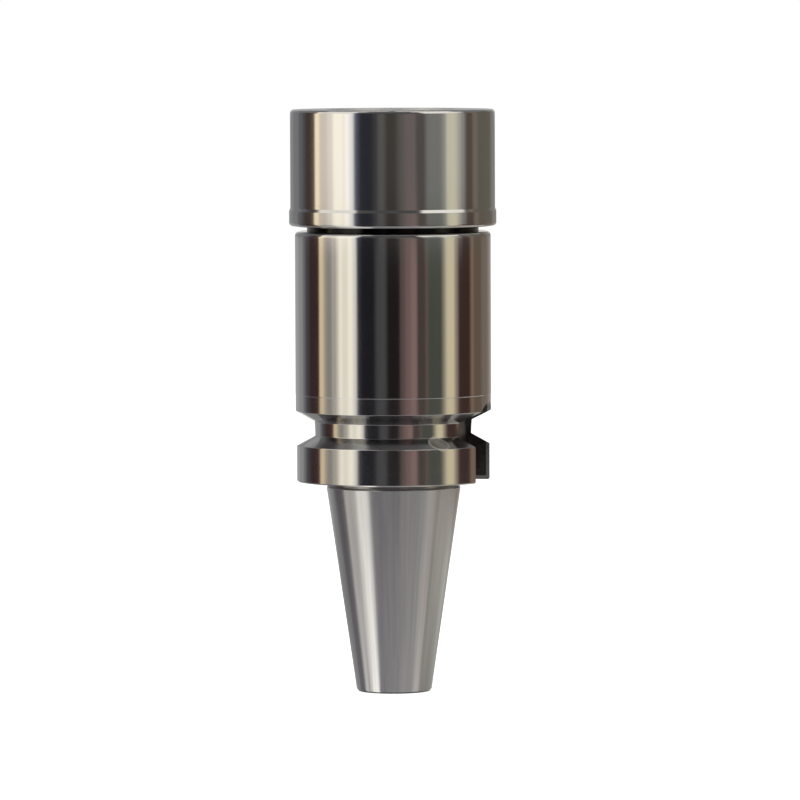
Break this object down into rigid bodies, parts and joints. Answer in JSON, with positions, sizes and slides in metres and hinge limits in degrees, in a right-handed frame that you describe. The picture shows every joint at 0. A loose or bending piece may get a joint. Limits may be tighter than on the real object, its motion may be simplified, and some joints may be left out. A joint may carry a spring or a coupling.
{
  "type": "collet chuck tool holder",
  "caption": "Steep-taper tool holder: ground cone shank, V-grooved flange with two drive slots, round body and a smooth bearing nut that closes a slotted collet.",
  "frame": {"origin": "centre of the shank cone's gauge line, where the cone is 31.75 mm across", "axes": "+Z along the axis towards the clamping nut, +X through the middle of one drive slot"},
  "size_m": [0.049, 0.049, 0.1377],
  "materials": {
    "body_steel": "turned and polished, with a satin ground cone",
    "nut_steel": "fine turned and polished",
    "ring_steel": "ground",
    "ball_steel": "mirror polished",
    "spring_steel": "phosphated, matt",
    "collet_steel": "ground",
    "screw_steel": "black oxide, satin"
  },
  "bodies": {
    "holder": {"holder_body": "body_steel"},
    "collet_set": {"collet": "collet_steel", "thrust_ring": "ring_steel", "bearing_balls": "ball_steel"},
    "nut": {"clamping_nut": "nut_steel", "retaining_ring": "spring_steel"},
    "stop": {"stop_screw": "screw_steel"}
  },
  "joints": [
    {"name": "nut_travel", "type": "slide", "parent": "holder", "child": "collet_set", "axis": [0, 0, 1], "range_m": [0, 0.009]},
    {"name": "nut_turn", "type": "hinge", "parent": "collet_set", "child": "nut", "pos_m": [0, 0, 0.07555], "axis": [0, 0, 1], "range_deg": [0, 2160]},
    {"name": "stop_screw_travel", "type": "slide", "parent": "holder", "child": "stop", "axis": [0, 0, 1], "range_m": [-0.005, 0.005]}
  ],
  "couplings": [
    {"joint": "nut_travel", "follows": "nut_turn", "m_per_rad": 0.00023873}
  ]
}
